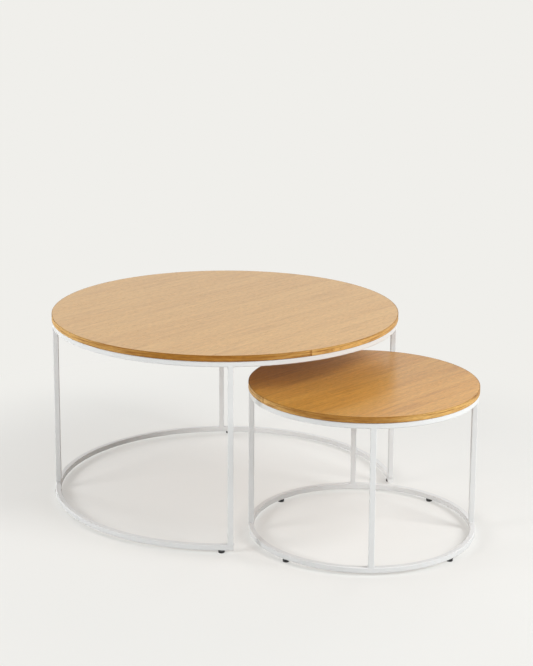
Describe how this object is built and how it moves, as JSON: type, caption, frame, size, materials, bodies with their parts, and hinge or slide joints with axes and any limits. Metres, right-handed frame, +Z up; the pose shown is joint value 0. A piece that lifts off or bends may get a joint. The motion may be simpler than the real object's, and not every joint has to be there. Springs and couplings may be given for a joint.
{
  "type": "nesting tables",
  "caption": "Two round low tables, veneered wooden tops on slim square-tube frames with ring bases; the smaller slides in through the open side of the larger one's base ring.",
  "frame": {"origin": "on the floor, at the centre of the bounding box of the two tables as they stand at rest", "axes": "+Z up; +X the way the small table is drawn out of the large one; +Y to the left of that"},
  "size_m": [1.054, 0.8, 0.435],
  "materials": {
    "oak_face": "matt lacquered oak veneer",
    "oak_back": "oak balancing veneer",
    "oak_edge": "oak edge band",
    "board_core": "fibreboard",
    "white_powder_coat": "matt white powder coat",
    "zinc_steel": "bright zinc",
    "black_plastic": "moulded"
  },
  "bodies": {
    "large_table": {"large_top_core": "board_core", "large_top_back_veneer": "oak_back", "large_top_face_veneer": "oak_face", "large_top_edge_band": "oak_edge", "large_fixing_tabs": "white_powder_coat", "large_top_screws": "zinc_steel", "large_upper_ring": "white_powder_coat", "large_lower_ring": "white_powder_coat", "large_glide_nuts": "zinc_steel", "large_leg_front_left": "white_powder_coat", "large_leg_front_right": "white_powder_coat", "large_leg_rear_left": "white_powder_coat", "large_leg_rear_right": "white_powder_coat", "large_ring_end_caps": "white_powder_coat"},
    "small_table": {"small_top_core": "board_core", "small_top_back_veneer": "oak_back", "small_top_face_veneer": "oak_face", "small_top_edge_band": "oak_edge", "small_fixing_tabs": "white_powder_coat", "small_top_screws": "zinc_steel", "small_upper_ring": "white_powder_coat", "small_lower_ring": "white_powder_coat", "small_glide_nuts": "zinc_steel", "small_leg_front_left": "white_powder_coat", "small_leg_front_right": "white_powder_coat", "small_leg_rear_left": "white_powder_coat", "small_leg_rear_right": "white_powder_coat"},
    "large_glide_front_left": {"large_glide_head_front_left": "black_plastic", "large_glide_stud_front_left": "zinc_steel"},
    "large_glide_front_right": {"large_glide_head_front_right": "black_plastic", "large_glide_stud_front_right": "zinc_steel"},
    "large_glide_rear_left": {"large_glide_head_rear_left": "black_plastic", "large_glide_stud_rear_left": "zinc_steel"},
    "large_glide_rear_right": {"large_glide_head_rear_right": "black_plastic", "large_glide_stud_rear_right": "zinc_steel"},
    "small_glide_front": {"small_glide_head_front": "black_plastic", "small_glide_stud_front": "zinc_steel"},
    "small_glide_left": {"small_glide_head_left": "black_plastic", "small_glide_stud_left": "zinc_steel"},
    "small_glide_rear": {"small_glide_head_rear": "black_plastic", "small_glide_stud_rear": "zinc_steel"},
    "small_glide_right": {"small_glide_head_right": "black_plastic", "small_glide_stud_right": "zinc_steel"}
  },
  "joints": [
    {"name": "nest_slide", "type": "slide", "parent": "large_table", "child": "small_table", "axis": [1, 0, 0], "range_m": [-0.5407, 0.25]},
    {"name": "large_glide_front_left_screw", "type": "slide", "parent": "large_table", "child": "large_glide_front_left", "axis": [0, 0, -1], "range_m": [0, 0.004]},
    {"name": "large_glide_front_right_screw", "type": "slide", "parent": "large_table", "child": "large_glide_front_right", "axis": [0, 0, -1], "range_m": [0, 0.004]},
    {"name": "large_glide_rear_left_screw", "type": "slide", "parent": "large_table", "child": "large_glide_rear_left", "axis": [0, 0, -1], "range_m": [0, 0.004]},
    {"name": "large_glide_rear_right_screw", "type": "slide", "parent": "large_table", "child": "large_glide_rear_right", "axis": [0, 0, -1], "range_m": [0, 0.004]},
    {"name": "small_glide_front_screw", "type": "slide", "parent": "small_table", "child": "small_glide_front", "axis": [0, 0, -1], "range_m": [0, 0.004]},
    {"name": "small_glide_left_screw", "type": "slide", "parent": "small_table", "child": "small_glide_left", "axis": [0, 0, -1], "range_m": [0, 0.004]},
    {"name": "small_glide_rear_screw", "type": "slide", "parent": "small_table", "child": "small_glide_rear", "axis": [0, 0, -1], "range_m": [0, 0.004]},
    {"name": "small_glide_right_screw", "type": "slide", "parent": "small_table", "child": "small_glide_right", "axis": [0, 0, -1], "range_m": [0, 0.004]}
  ]
}
